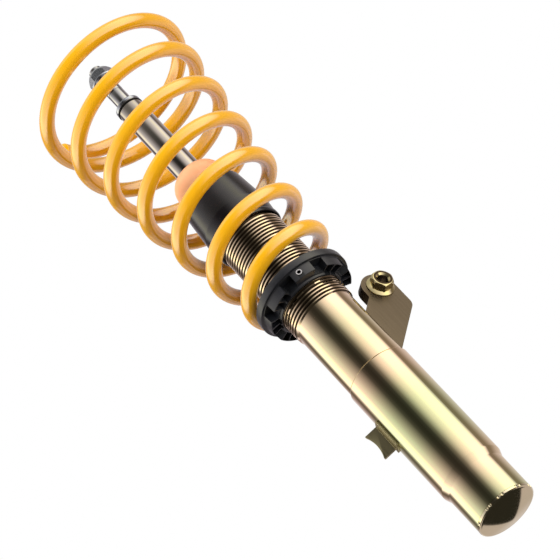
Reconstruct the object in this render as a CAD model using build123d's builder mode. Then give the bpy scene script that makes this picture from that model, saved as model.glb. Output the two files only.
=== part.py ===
"""MacPherson coilover strut, modelled upright: +Z runs up the strut towards the top mount.

The origin is the centre of the flat bottom face. All sizes are in millimetres.
"""

from build123d import *
from math import cos, pi, radians, sin, sqrt
import os

os.makedirs("parts", exist_ok=True)

# --- strut tube ------------------------------------------------------------------------------
CLAMP_R = 25.0            # section that the steering knuckle clamps
CLAMP_TOP = 36.5
HOUSING_R = 27.1          # thicker section above the clamp
SHOULDER_TOP = 42.5
SEAM_Z = 154.5            # weld between the lower housing and the threaded sleeve
SLEEVE_R = 25.7
BORE_R = 22.5
CAP_THICK = 3.6
CAP_EDGE = 3.3
CAP_SPIGOT = 5.0
TUBE_TOP = 319.0

# --- height adjuster thread ------------------------------------------------------------------
THREAD_MAJOR_R = 27.1
THREAD_PITCH = 3.2
THREAD_START = 222.0
THREAD_TURNS = 30
THREAD_CREST = 1.3
THREAD_FLANK = 0.45

# --- damper inside ---------------------------------------------------------------------------
CYLINDER_R = 16.0
CYLINDER_WALL = 1.6
CYLINDER_BASE = 20.0
ROD_R = 11.0
RUNNING_GAP = 0.05
GUIDE_BASE = 295.0
GUIDE_TOP = 307.0
SEAL_TOP = 312.0
REBOUND_BASE = 282.0
PISTON_TOP = 265.0
PISTON_THICK = 15.0
PISTON_SPIGOT_R = 6.0

# --- rod end ---------------------------------------------------------------------------------
SHOULDER_Z = 492.2
O_RING_BASE = 489.7
O_RING_THICK = 2.2
WASHER_THICK = 3.7
WASHER_R = 11.4
SHANK_R = 7.0
SHANK_RELIEF_Z = 511.4
STUD_R = 5.95
NUT_BASE = 526.6
NUT_TOP = 538.6
NUT_FLATS = 21.0
STUD_TOP = 544.4

# --- bump stop and boot ----------------------------------------------------------------------
STOP_BASE = 319.4
STOP_TOP = 401.6
STOP_R = 22.6
STOP_BORE_R = 11.6       # passes over the seat washer
BOOT_BASE = 320.0
BOOT_TOP = 375.0

# --- spring and perch ------------------------------------------------------------------------
PERCH_TOP = 255.7
FLANGE_R = 41.1
FLANGE_THICK = 6.7
PERCH_BORE_R = 27.35
HUB_R = 29.8
HUB_BASE = 239.0
LUG_R = 38.6
LUG_BASE = 240.0
LUGS = 8                  # spanner lugs under the flange, with a notch between each two
LUG_AZIMUTH = -73.5
NOTCH_WIDTH = 11.2
POCKET_WIDTH = 6.0
POCKET_OFFSET = 7.5       # degrees from the middle of a lug to the middle of a pocket
LUG_WALL = 1.8
SCREW_R = 2.5
SCREW_AZIMUTH = -77.0
SCREW_Z = 245.0

WIRE_R = 6.3
COIL_PITCH = 41.0
COIL_START_R = 39.2       # mean radius where the wire leaves the perch
COIL_GROWTH = 4.6         # mean radius gained per turn
COIL_START_AZIMUTH = 170.0
SEAT_TURNS = 0.36         # part turn that lies flat on the perch
RISE_TURNS = 6.35
COIL_TURNS = 6.98
STEPS_PER_TURN = 12

# --- link bracket and locator tab ------------------------------------------------------------
BRACKET_AZIMUTH = -49.0   # where the plate's face looks
BRACKET_FACE = 8.0        # distance of the plate's face from the strut's axis
BRACKET_THICK = 3.0
BRACKET_RIM = 9.0         # depth of the return rim, from the face
LINK_OUT = 55.6           # link hole: outwards from the strut's axis, and height
LINK_Z = 227.3
EYE_OUT = 54.2            # rounded end of the plate, round the link hole
EYE_Z = 227.4
EYE_R = 14.2
LINK_HOLE_R = 4.19        # M10 thread, minor radius
TAB_BASE = 96.5
TAB_TOP = 121.2
TAB_REACH = 39.5
TAB_THICK = 2.5
TAB_FRONT = -5.5          # the plate's face on the -Y side


def turned(profile):
    """A solid of revolution about the strut's axis, from its (radius, height) outline."""
    with BuildPart() as body:
        with BuildSketch(Plane.XZ):
            with BuildLine():
                Polyline(*profile, close=True)
            make_face()
        revolve(axis=Axis.Z)
    return body.part


def ring(inner, outer, base, top):
    """The outline of a plain ring."""
    return [(inner, base), (outer, base), (outer, top), (inner, top)]


def save(part, label):
    part.label = label
    export_step(part, f"parts/{label}.step")


# ============================== strut tube ==============================

with BuildPart() as lower_housing:
    add(turned([
        (BORE_R, CAP_THICK),
        (CLAMP_R, CAP_THICK),
        (CLAMP_R, CLAMP_TOP),
        (HOUSING_R, SHOULDER_TOP),
        (HOUSING_R, SEAM_Z - 0.6),
        (HOUSING_R - 0.6, SEAM_Z),
        (BORE_R, SEAM_Z),
    ]))
save(lower_housing.part, "lower_housing")


def thread_outline():
    """Outside of the adjuster thread, as one trapezoid crest for each turn."""
    points = []
    for turn in range(THREAD_TURNS):
        base = THREAD_START + turn * THREAD_PITCH
        points.append((SLEEVE_R, base))
        points.append((THREAD_MAJOR_R, base + THREAD_FLANK))
        points.append((THREAD_MAJOR_R, base + THREAD_FLANK + THREAD_CREST))
        points.append((SLEEVE_R, base + 2 * THREAD_FLANK + THREAD_CREST))
    return points


with BuildPart() as threaded_sleeve:
    sleeve_outline = [(BORE_R, SEAM_Z), (SLEEVE_R - 0.5, SEAM_Z), (SLEEVE_R, SEAM_Z + 0.5)]
    sleeve_outline += thread_outline()
    sleeve_outline += [(SLEEVE_R, TUBE_TOP - 0.5), (SLEEVE_R - 0.5, TUBE_TOP), (BORE_R, TUBE_TOP)]
    add(turned(sleeve_outline))
save(threaded_sleeve.part, "threaded_sleeve")

with BuildPart() as bottom_cap:
    Cylinder(CLAMP_R, CAP_THICK, align=(Align.CENTER, Align.CENTER, Align.MIN))
    fillet(bottom_cap.edges().filter_by(GeomType.CIRCLE).sort_by(Axis.Z)[0], CAP_EDGE)
    with Locations((0, 0, CAP_THICK)):
        Cylinder(BORE_R - 0.05, CAP_SPIGOT, align=(Align.CENTER, Align.CENTER, Align.MIN))
save(bottom_cap.part, "bottom_cap")

# ============================== damper inside ==============================

with BuildPart() as working_cylinder:
    add(turned(ring(CYLINDER_R, CYLINDER_R + CYLINDER_WALL, CYLINDER_BASE, GUIDE_BASE)))
save(working_cylinder.part, "working_cylinder")

CAP_INSIDE = CAP_THICK + CAP_SPIGOT
VALVE_BOLT_R = 3.0
with BuildPart() as base_valve_body:
    add(turned([
        (VALVE_BOLT_R, CAP_INSIDE + 3),
        (19.5, CAP_INSIDE + 3),
        (19.5, CYLINDER_BASE),
        (CYLINDER_R, CYLINDER_BASE),
        (CYLINDER_R, CYLINDER_BASE + 5),
        (VALVE_BOLT_R, CYLINDER_BASE + 5),
    ]))
    with BuildSketch(Plane.XY.offset(CAP_INSIDE)):
        with PolarLocations(17, 6):
            Rectangle(5, 6)
    extrude(amount=3)
    with PolarLocations(10, 8):
        with Locations((0, 0, CAP_INSIDE)):
            Cylinder(1.5, 40, align=(Align.CENTER, Align.CENTER, Align.MIN), mode=Mode.SUBTRACT)
save(base_valve_body.part, "base_valve_body")

SHIM_THICK = 0.6
with BuildPart() as base_valve_shims:
    for index, radius in enumerate((12.5, 10.5, 8.5)):
        base = CYLINDER_BASE + 5 + index * SHIM_THICK
        add(turned(ring(VALVE_BOLT_R, radius, base, base + SHIM_THICK)))
save(base_valve_shims.part, "base_valve_shims")

BOLT_HEAD_BASE = CYLINDER_BASE + 5 + 3 * SHIM_THICK
with BuildPart() as base_valve_bolt:
    with BuildSketch(Plane.XY.offset(BOLT_HEAD_BASE)):
        RegularPolygon(5.5, 6)
    extrude(amount=4)
    with Locations((0, 0, BOLT_HEAD_BASE)):
        Cylinder(VALVE_BOLT_R, 15, align=(Align.CENTER, Align.CENTER, Align.MAX))
save(base_valve_bolt.part, "base_valve_bolt")

BUSH_WALL = 1.2
with BuildPart() as rod_guide:
    add(turned([
        (ROD_R + BUSH_WALL, GUIDE_BASE),
        (CYLINDER_R + CYLINDER_WALL, GUIDE_BASE),
        (BORE_R, GUIDE_BASE + 4),
        (BORE_R, GUIDE_TOP),
        (ROD_R + BUSH_WALL, GUIDE_TOP),
    ]))
save(rod_guide.part, "rod_guide")

with BuildPart() as guide_bush:
    add(turned(ring(ROD_R + RUNNING_GAP, ROD_R + BUSH_WALL, GUIDE_BASE, GUIDE_TOP)))
save(guide_bush.part, "guide_bush")

with BuildPart() as rod_seal:
    add(turned([
        (ROD_R + RUNNING_GAP, GUIDE_TOP + 1.5),
        (ROD_R + 2, GUIDE_TOP),
        (BORE_R, GUIDE_TOP),
        (BORE_R, SEAL_TOP),
        (ROD_R + 2, SEAL_TOP),
        (ROD_R + RUNNING_GAP, SEAL_TOP - 1.5),
    ]))
save(rod_seal.part, "rod_seal")

with BuildPart() as gland_nut:
    add(turned(ring(ROD_R + 0.6, BORE_R, SEAL_TOP, TUBE_TOP)))
    with BuildSketch(Plane.XY.offset(TUBE_TOP)):
        with PolarLocations(17, 4, start_angle=45):
            Circle(2)
    extrude(amount=-4, mode=Mode.SUBTRACT)
save(gland_nut.part, "gland_nut")

# ============================== rod ==============================

with BuildPart() as piston_rod:
    add(turned([
        (0, PISTON_TOP - 24),
        (PISTON_SPIGOT_R, PISTON_TOP - 24),
        (PISTON_SPIGOT_R, PISTON_TOP),
        (ROD_R, PISTON_TOP),
        (ROD_R, O_RING_BASE),
        (ROD_R - 1.6, O_RING_BASE),
        (ROD_R - 1.6, O_RING_BASE + O_RING_THICK),
        (ROD_R, O_RING_BASE + O_RING_THICK),
        (ROD_R, SHOULDER_Z),
        (SHANK_R, SHOULDER_Z),
        (SHANK_R, SHANK_RELIEF_Z - 0.6),
        (SHANK_R - 0.4, SHANK_RELIEF_Z - 0.6),
        (SHANK_R - 0.4, SHANK_RELIEF_Z + 0.6),
        (SHANK_R, SHANK_RELIEF_Z + 0.6),
        (SHANK_R, NUT_BASE - 1.5),
        (STUD_R, NUT_BASE - 0.5),
        (STUD_R, STUD_TOP - 1.2),
        (STUD_R - 1.2, STUD_TOP),
        (0, STUD_TOP),
    ]))
    with BuildSketch(Plane.XY.offset(STUD_TOP)):
        RegularPolygon(3, 6, major_radius=False)
    extrude(amount=-7, mode=Mode.SUBTRACT)
save(piston_rod.part, "piston_rod")

PISTON_BASE = PISTON_TOP - PISTON_THICK
BAND_GROOVE = 1.5
with BuildPart() as piston:
    add(turned([
        (PISTON_SPIGOT_R, PISTON_BASE),
        (CYLINDER_R - 0.3, PISTON_BASE),
        (CYLINDER_R - 0.3, PISTON_BASE + 3),
        (CYLINDER_R - BAND_GROOVE, PISTON_BASE + 3),
        (CYLINDER_R - BAND_GROOVE, PISTON_TOP - 3 - 3 * SHIM_THICK),
        (CYLINDER_R - 0.3, PISTON_TOP - 3 - 3 * SHIM_THICK),
        (CYLINDER_R - 0.3, PISTON_TOP - 3 * SHIM_THICK),
        (PISTON_SPIGOT_R, PISTON_TOP - 3 * SHIM_THICK),
    ]))
    with BuildSketch(Plane.XY.offset(PISTON_BASE)):
        with PolarLocations(10.5, 8):
            Circle(1.5)
    extrude(amount=PISTON_THICK, mode=Mode.SUBTRACT)
save(piston.part, "piston")

with BuildPart() as piston_band:
    add(turned(ring(
        CYLINDER_R - BAND_GROOVE,
        CYLINDER_R - RUNNING_GAP,
        PISTON_BASE + 3,
        PISTON_TOP - 3 - 3 * SHIM_THICK,
    )))
save(piston_band.part, "piston_band")

with BuildPart() as piston_shims:
    for index, radius in enumerate((13.5, 11.5, 9.5)):
        below = PISTON_BASE - (index + 1) * SHIM_THICK
        above = PISTON_TOP - (3 - index) * SHIM_THICK
        add(turned(ring(PISTON_SPIGOT_R, radius, below, below + SHIM_THICK)))
        add(turned(ring(PISTON_SPIGOT_R, radius, above, above + SHIM_THICK)))
save(piston_shims.part, "piston_shims")

with BuildPart() as piston_nut:
    with BuildSketch(Plane.XY.offset(PISTON_BASE - 3 * SHIM_THICK)):
        RegularPolygon(9.5, 6, major_radius=False)
        Circle(PISTON_SPIGOT_R, mode=Mode.SUBTRACT)
    extrude(amount=-6)
save(piston_nut.part, "piston_nut")

with BuildPart() as rebound_stop:
    add(turned([
        (ROD_R, REBOUND_BASE),
        (13, REBOUND_BASE),
        (15, REBOUND_BASE + 4),
        (15, GUIDE_BASE - 0.5),
        (ROD_R, GUIDE_BASE - 0.5),
    ]))
save(rebound_stop.part, "rebound_stop")

with BuildPart() as rod_o_ring:
    add(turned(ring(ROD_R - 1.6, ROD_R + 0.1, O_RING_BASE, O_RING_BASE + O_RING_THICK)))
    fillet(rod_o_ring.edges().filter_by(GeomType.CIRCLE).group_by(SortBy.RADIUS)[-1], 0.7)
save(rod_o_ring.part, "rod_o_ring")

with BuildPart() as seat_washer:
    add(turned(ring(SHANK_R, WASHER_R, SHOULDER_Z, SHOULDER_Z + WASHER_THICK)))
    fillet(seat_washer.edges().filter_by(GeomType.CIRCLE).group_by(SortBy.RADIUS)[-1], 1.1)
save(seat_washer.part, "seat_washer")

with BuildPart() as top_nut:
    with BuildSketch(Plane.XY.offset(NUT_BASE)):
        RegularPolygon(NUT_FLATS / 2, 6, major_radius=False)
    extrude(amount=NUT_TOP - NUT_BASE)
    add(
        turned([(0, NUT_BASE), (13, NUT_BASE), (13, NUT_TOP - 6), (9.2, NUT_TOP), (0, NUT_TOP)]),
        mode=Mode.INTERSECT,
    )
    with Locations((0, 0, NUT_BASE)):
        Cylinder(12.6, 2.4, align=(Align.CENTER, Align.CENTER, Align.MIN))
        Cylinder(6, 30, mode=Mode.SUBTRACT)
save(top_nut.part, "top_nut")

# ============================== bump stop and boot ==============================

CONVOLUTIONS = 4
CONVOLUTION_HEIGHT = 14.0
DOME_HEIGHT = 13.5
DOME_INNER_R = 13.0
with BuildPart() as bump_stop:
    stop_outline = [(STOP_BORE_R, STOP_BASE), (18, STOP_BASE)]
    for fold in range(CONVOLUTIONS):
        base = STOP_BASE + fold * CONVOLUTION_HEIGHT
        stop_outline.append((21, base + 4))
        stop_outline.append((21, base + 9))
        stop_outline.append((17, base + CONVOLUTION_HEIGHT))
    stop_outline.append((STOP_R - 0.4, STOP_TOP - 24))
    for step in range(7):
        angle = radians(step * 15)
        dome_radius = DOME_INNER_R + (STOP_R - DOME_INNER_R) * cos(angle)
        stop_outline.append((dome_radius, STOP_TOP - DOME_HEIGHT + DOME_HEIGHT * sin(angle)))
    stop_outline.append((STOP_BORE_R, STOP_TOP))
    add(turned(stop_outline))
save(bump_stop.part, "bump_stop")

BOOT_WALL = 1.8
boot_outside = [
    (28.9, BOOT_BASE),
    (28.9, BOOT_BASE + 3.5),
    (28.4, BOOT_BASE + 4.5),
    (29.9, BOOT_BASE + 20),
    (27.8, BOOT_TOP - 10),
    (27.2, BOOT_TOP - 3),
    (25.9, BOOT_TOP),
]
with BuildPart() as dust_boot:
    boot_inside = [(radius - BOOT_WALL, height) for radius, height in boot_outside]
    add(turned(boot_outside + boot_inside[::-1]))
save(dust_boot.part, "dust_boot")

# ============================== perch ==============================

SCREW_DIRECTION = (cos(radians(SCREW_AZIMUTH)), sin(radians(SCREW_AZIMUTH)), 0)
SCREW_INNER = PERCH_BORE_R + 0.4
SCREW_OUTER = LUG_R + 0.2


def screw_plane(distance):
    """Plane across the set screw's axis, at this distance from the strut's axis."""
    origin = (SCREW_DIRECTION[0] * distance, SCREW_DIRECTION[1] * distance, SCREW_Z)
    return Plane(origin=origin, z_dir=SCREW_DIRECTION)


POCKET_DEPTH = LUG_R - HUB_R - 2 * LUG_WALL
LUG_PITCH = 360 / LUGS
with BuildPart() as spring_perch:
    add(turned([
        (PERCH_BORE_R, HUB_BASE),
        (HUB_R, HUB_BASE),
        (HUB_R, LUG_BASE),
        (LUG_R, LUG_BASE),
        (LUG_R, PERCH_TOP - FLANGE_THICK),
        (FLANGE_R, PERCH_TOP - FLANGE_THICK),
        (FLANGE_R, PERCH_TOP - 0.8),
        (FLANGE_R - 0.8, PERCH_TOP),
        (PERCH_BORE_R, PERCH_TOP),
    ]))
    with BuildSketch(Plane.XY.offset(LUG_BASE)):
        with PolarLocations(HUB_R + 1 + NOTCH_WIDTH / 2, LUGS, start_angle=LUG_AZIMUTH + LUG_PITCH / 2):
            Rectangle(NOTCH_WIDTH, NOTCH_WIDTH)
        for side in (-1, 1):
            first = LUG_AZIMUTH + LUG_PITCH + side * POCKET_OFFSET
            with PolarLocations(
                (HUB_R + LUG_R) / 2, LUGS - 1, start_angle=first, angular_range=360 - 2 * LUG_PITCH
            ):
                Rectangle(POCKET_DEPTH, POCKET_WIDTH)
    extrude(amount=PERCH_TOP - FLANGE_THICK - LUG_BASE, mode=Mode.SUBTRACT)
    with BuildSketch(screw_plane(0)):
        Circle(SCREW_R + 0.1)
    extrude(amount=FLANGE_R + 2, mode=Mode.SUBTRACT)
save(spring_perch.part, "spring_perch")

with BuildPart() as perch_lock_screw:
    with BuildSketch(screw_plane(SCREW_INNER)):
        Circle(SCREW_R)
    extrude(amount=SCREW_OUTER - SCREW_INNER)
    with BuildSketch(screw_plane(SCREW_OUTER)):
        RegularPolygon(1.25, 6, major_radius=False)
    extrude(amount=-3, mode=Mode.SUBTRACT)
save(perch_lock_screw.part, "perch_lock_screw")

# ============================== spring ==============================


def ramp(turns, softness):
    """Zero below zero turns and equal to turns above, with a rounded corner."""
    return (turns + sqrt(turns * turns + softness * softness)) / 2


def coil_point(turns):
    """Centre of the wire, this many turns after it leaves the perch."""
    height = PERCH_TOP + WIRE_R + COIL_PITCH * (ramp(turns, 0.1) - ramp(turns - RISE_TURNS, 0.25))
    radius = COIL_START_R + COIL_GROWTH * (turns - 1.6 * ramp(turns - RISE_TURNS, 0.1))
    radius /= cos(pi / STEPS_PER_TURN)
    angle = radians(COIL_START_AZIMUTH + 360 * turns)
    return Vector(radius * cos(angle), radius * sin(angle), height + 0.05)


with BuildPart() as coil_spring:
    coil_steps = round((COIL_TURNS + SEAT_TURNS) * STEPS_PER_TURN)
    coil_points = [
        coil_point(-SEAT_TURNS + step / coil_steps * (COIL_TURNS + SEAT_TURNS))
        for step in range(coil_steps + 1)
    ]
    coil_radii = []
    for before, corner, after in zip(coil_points, coil_points[1:], coil_points[2:]):
        turn_angle = (corner - before).get_angle(after - corner)
        shorter = min((corner - before).length, (after - corner).length)
        coil_radii.append(0.49 * shorter / sin(radians(turn_angle / 2)) * cos(radians(turn_angle / 2)))
    with BuildLine() as coil_line:
        FilletPolyline(*coil_points, radius=coil_radii)
    start = coil_line.line @ 0
    with BuildSketch(Plane(origin=start, z_dir=coil_line.line % 0)):
        Circle(WIRE_R)
    sweep(path=coil_line.line)
save(coil_spring.part, "coil_spring")

# ============================== link bracket ==============================

FACE_NORMAL = Vector(cos(radians(BRACKET_AZIMUTH)), sin(radians(BRACKET_AZIMUTH)), 0)
OUTWARD = Vector(-FACE_NORMAL.Y, FACE_NORMAL.X, 0)


def bracket_plane(distance):
    """Plane of the bracket's sheet: x outwards, y up the strut, z out of the face."""
    return Plane(origin=FACE_NORMAL * distance, x_dir=OUTWARD, z_dir=FACE_NORMAL)


EYE_TOP = (EYE_OUT, EYE_Z + EYE_R)
EYE_LEFT = (EYE_OUT - EYE_R, EYE_Z)
EYE_RIGHT = (EYE_OUT + EYE_R, EYE_Z)
BRACKET_ROOT = 23.0       # the sheet runs in to here, and is cut back to the tube's surface
BRACKET_FOOT_Z = 159.6
BRACKET_HEAD_Z = 205.1
OUTER_CORNER = (EYE_OUT + EYE_R, 201.5)
OUTER_CORNER_R = 9.0
INNER_CORNER = (EYE_OUT - EYE_R, 221.4)

with BuildPart() as link_bracket:
    with BuildSketch(bracket_plane(BRACKET_FACE - BRACKET_THICK)) as plate_outline:
        with BuildLine():
            Polyline(
                EYE_LEFT,
                INNER_CORNER,
                (BRACKET_ROOT, BRACKET_HEAD_Z),
                (BRACKET_ROOT, BRACKET_FOOT_Z),
                OUTER_CORNER,
                EYE_RIGHT,
            )
            ThreePointArc(EYE_RIGHT, EYE_TOP, EYE_LEFT)
        make_face()
        fillet(plate_outline.vertices().sort_by(lambda v: abs(v.Y - OUTER_CORNER[1]))[0], OUTER_CORNER_R)
    extrude(amount=BRACKET_THICK)
    with BuildSketch(bracket_plane(BRACKET_FACE - BRACKET_RIM)):
        with BuildLine():
            Line(INNER_CORNER, EYE_LEFT)
            ThreePointArc(EYE_LEFT, EYE_TOP, EYE_RIGHT)
            offset(amount=-BRACKET_THICK, side=Side.RIGHT)
        make_face()
    extrude(amount=BRACKET_RIM - BRACKET_THICK)
    add(turned(ring(0, SLEEVE_R, SEAM_Z - 5, TUBE_TOP)), mode=Mode.SUBTRACT)
    with Locations(Location(bracket_plane(BRACKET_FACE))):
        with Locations((LINK_OUT, LINK_Z, 0)):
            Cylinder(5.2, 30, mode=Mode.SUBTRACT)
save(link_bracket.part, "link_bracket")

NUT_FLANGE_R = 11.3
NUT_FLANGE_THICK = 1.8
NUT_HEIGHT = 9.4
LINK_NUT_FLATS = 16.0
LINK_NUT_TOP_R = 7.86
with BuildPart() as link_nut:
    with BuildSketch(Plane.XY):
        RegularPolygon(LINK_NUT_FLATS / 2, 6, major_radius=False)
    extrude(amount=NUT_HEIGHT)
    nut_chamfer = [
        (0, 0),
        (NUT_FLANGE_R, 0),
        (NUT_FLANGE_R, NUT_HEIGHT - 2),
        (LINK_NUT_TOP_R, NUT_HEIGHT),
        (0, NUT_HEIGHT),
    ]
    add(turned(nut_chamfer), mode=Mode.INTERSECT)
    Cylinder(NUT_FLANGE_R, NUT_FLANGE_THICK, align=(Align.CENTER, Align.CENTER, Align.MIN))
    Cylinder(LINK_HOLE_R, 3 * NUT_HEIGHT, mode=Mode.SUBTRACT)
eye_face = Location(bracket_plane(BRACKET_FACE)) * Location((LINK_OUT, LINK_Z, 0))
save(eye_face * link_nut.part, "link_nut")

# ============================== locator tab ==============================

TAB_HOLLOW = 2.6
TAB_ROOT = -HOUSING_R - 0.2
FOOT_THICK = 1.8
FOOT_DROP = 2.0           # the foot reaches this much below the plate
FOOT_SPAN = 27.0          # degrees of the tube that the foot covers, towards -Y
with BuildPart() as locator_tab:
    with BuildSketch(Plane.XZ.offset(-TAB_FRONT)):
        with BuildLine():
            Polyline(
                (-TAB_REACH, TAB_BASE),
                (TAB_ROOT, TAB_BASE),
                (TAB_ROOT, TAB_TOP),
                (-TAB_REACH, TAB_TOP),
            )
            middle = (-TAB_REACH + TAB_HOLLOW, (TAB_BASE + TAB_TOP) / 2)
            ThreePointArc((-TAB_REACH, TAB_TOP), middle, (-TAB_REACH, TAB_BASE))
        make_face()
    extrude(amount=-TAB_THICK)
    with BuildSketch(Plane.XZ):
        with Locations((-HOUSING_R - FOOT_THICK / 2, (TAB_BASE + TAB_TOP - FOOT_DROP) / 2)):
            Rectangle(FOOT_THICK, TAB_TOP - TAB_BASE + FOOT_DROP - 0.6)
    revolve(axis=Axis.Z, revolution_arc=FOOT_SPAN)
save(locator_tab.part, "locator_tab")
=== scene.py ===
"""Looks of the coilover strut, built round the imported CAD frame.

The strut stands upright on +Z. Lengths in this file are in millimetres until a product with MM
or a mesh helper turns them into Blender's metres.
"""

import math

import bmesh
import bpy
from mathutils import Matrix, Vector


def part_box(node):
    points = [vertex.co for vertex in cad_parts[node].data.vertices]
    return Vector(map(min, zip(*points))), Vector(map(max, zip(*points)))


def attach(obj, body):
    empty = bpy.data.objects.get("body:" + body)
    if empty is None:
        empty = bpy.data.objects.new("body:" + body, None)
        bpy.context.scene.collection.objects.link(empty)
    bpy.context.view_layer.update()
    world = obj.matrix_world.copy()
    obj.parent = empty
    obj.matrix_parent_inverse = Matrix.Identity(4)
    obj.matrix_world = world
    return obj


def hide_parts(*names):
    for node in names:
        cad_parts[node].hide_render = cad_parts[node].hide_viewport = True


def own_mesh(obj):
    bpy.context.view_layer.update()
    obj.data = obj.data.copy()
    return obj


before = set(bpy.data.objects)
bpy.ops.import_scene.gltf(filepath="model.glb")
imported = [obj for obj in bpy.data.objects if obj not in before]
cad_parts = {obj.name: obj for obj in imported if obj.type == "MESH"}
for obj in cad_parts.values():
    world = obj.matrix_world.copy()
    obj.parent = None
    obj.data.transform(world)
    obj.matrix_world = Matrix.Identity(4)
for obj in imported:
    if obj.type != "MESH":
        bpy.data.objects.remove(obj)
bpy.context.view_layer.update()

MM = 0.001

# --- sizes read from the frame ---------------------------------------------------------------


def extent(node):
    """Lowest and highest corner of a CAD node, in millimetres."""
    low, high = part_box(node)
    return low / MM, high / MM


HOUSING_TOP = extent("lower_housing")[1].z
HOUSING_R = extent("lower_housing")[1].x
TUBE_TOP = extent("threaded_sleeve")[1].z
PERCH_BASE = extent("spring_perch")[0].z
PERCH_TOP = extent("spring_perch")[1].z
FLANGE_R = extent("spring_perch")[1].x
BOOT_BASE = extent("dust_boot")[0].z
BOOT_TOP = extent("dust_boot")[1].z
STOP_BASE = extent("bump_stop")[0].z
STOP_TOP = extent("bump_stop")[1].z
STOP_R = extent("bump_stop")[1].x
ROD_BASE = extent("piston_rod")[0].z
STUD_TOP = extent("piston_rod")[1].z
ROD_R = extent("piston_rod")[1].x
NUT_BASE = extent("top_nut")[0].z
NUT_TOP = extent("top_nut")[1].z
WASHER_BASE = extent("seat_washer")[0].z
WASHER_TOP = extent("seat_washer")[1].z
WASHER_R = extent("seat_washer")[1].x
TAB_BASE = extent("locator_tab")[0].z
TAB_TOP = extent("locator_tab")[1].z
TAB_REACH = -extent("locator_tab")[0].x

# --- sizes shared with the CAD model ---------------------------------------------------------

CLAMP_R = 25.0
CLAMP_TOP = 36.5
SHOULDER_TOP = 42.5
SLEEVE_R = 25.7
BORE_R = 22.5
CAP_THICK = 3.6
THREAD_R = 27.1
THREAD_PITCH = 3.2
THREAD_START = 222.0

FLANGE_THICK = 6.7
PERCH_BORE_R = 27.35
HUB_R = 29.8
LUG_R = 38.6
LUG_BASE = 240.0
LUGS = 8
LUG_AZIMUTH = -73.5
SCREW_AZIMUTH = -77.0
SCREW_Z = 245.0
SCREW_R = 2.5

WIRE_R = 6.3
COIL_PITCH = 41.0
COIL_START_R = 39.2
COIL_GROWTH = 4.6
COIL_START_AZIMUTH = 170.0
SEAT_TURNS = 0.36
RISE_TURNS = 6.35
COIL_TURNS = 6.98
SEAT_SOFTNESS = 0.1       # turns over which the coil leaves the perch
TOP_SOFTNESS = 0.25       # and over which it levels out at the top
TOP_GROWTH = 1.6          # the last coil draws in again

PISTON_TOP = 265.0
SPIGOT_R = 6.0            # the rod inside the piston
SHANK_R = 7.0
SHANK_RELIEF_Z = 511.4
STUD_R = 5.95
O_RING_BASE = 489.7
O_RING_THICK = 2.2
O_RING_GROOVE = 1.6
TOP_NUT_FLATS = 21.0
STOP_BORE_R = 11.6
STOP_FOLDS = 4
FOLD_HEIGHT = 14.0
DOME_HEIGHT = 13.5
DOME_INNER_R = 13.0
BOOT_WALL = 1.8

BRACKET_AZIMUTH = -49.0
BRACKET_FACE = 8.0
BRACKET_THICK = 3.0
BRACKET_RIM = 9.0
LINK_OUT = 55.6
LINK_Z = 227.3
EYE_OUT = 54.2
EYE_Z = 227.4
EYE_R = 14.2
BRACKET_ROOT = 23.0       # the plate runs in to here and is cut back to the tube
BRACKET_FOOT_Z = 159.6
BRACKET_HEAD_Z = 205.1
OUTER_CORNER_Z = 201.5
INNER_CORNER_Z = 221.4
LINK_HOLE_R = 4.19
LINK_NUT_HEIGHT = 9.4
LINK_NUT_FLATS = 16.0
BRACKET_HOLE_R = 5.2
LINK_FLANGE_R = 11.3
TAB_THICK = 2.5
TAB_FRONT = -5.5
TAB_HOLLOW = 2.6
TAB_FOOT_DROP = 2.0
TAB_FOOT_THICK = 1.8

# --- sizes of the visible finish -------------------------------------------------------------

SHOULDER_ROUND = 4.0
SEAM_RISE = 1.2           # the seam's small step, up and inwards
SEAM_STEP = 0.7
CAP_INSIDE = 8.0
CAP_DOME = 0.0020         # rise of the cap's face for each square millimetre of radius
CAP_FACE_R = 23.2
CAP_CORNER = (1.8, 1.2)   # outwards and upwards
CRIMP_AZIMUTHS = (-147, -108, -80, -43, -10, 26, 62, 98, 134, 170)
CRIMP_R = 1.6
CRIMP_OUT = 0.65          # a crimp's centre stands this far outside the tube
CRIMP_Z = 2.2
CRIMP_HALF_GAP = 4.2      # degrees from the middle of a pair of crimps to each one
THREAD_TURNS = 31         # one more than the CAD rings, because the thread fades out
NOTCH_HALF = 8.5          # degrees
POCKET_SIDES = (1.1, 12.1)
POCKET_INNER_R = PERCH_BORE_R + 1.2
POCKET_OUTER_R = LUG_R - 1.4
SCREW_SOCKET_R = 1.75
ROD_SOCKET_R = 3.46
TOP_NUT_FLANGE_R = 12.6
LINK_NUT_TURN = 8.0       # degrees
TINT_BASE = 10.0          # where the tube's tint drift starts
TINT_HEIGHT = 240.0
TINT_SWIRL = 20.0         # how far noise moves the tint up
TAB_FOOT_START = 181.0    # azimuth in degrees
TAB_FOOT_SPAN = 26.0      # degrees of the tube that the foot covers
WIRE_SHRINK = 0.02        # keeps the round wire inside the CAD box
WIRE_ENDS = ((0.0, 0.7), (0.2, 0.2), (0.7, 0.0))   # in from the end, and off the radius
FINE = 192                # faces round a lathed piece
MEDIUM = 128
SMALL = 96


# ============================== mesh helpers ==============================


def new_piece(name, bm, material, body, *nodes, sharp=35.0):
    """Finishes a mesh built in millimetres, ties it to its body and hides the CAD nodes it stands for."""
    bmesh.ops.recalc_face_normals(bm, faces=bm.faces)
    bmesh.ops.scale(bm, vec=(MM, MM, MM), verts=bm.verts)
    mesh = bpy.data.meshes.new(name)
    bm.to_mesh(mesh)
    bm.free()
    mesh.shade_smooth()
    mesh.set_sharp_from_angle(angle=math.radians(sharp))
    piece = bpy.data.objects.new(name, mesh)
    bpy.context.scene.collection.objects.link(piece)
    piece.data.materials.append(MATERIALS[material])
    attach(piece, body)
    if nodes:
        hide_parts(*nodes)
    return piece


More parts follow.
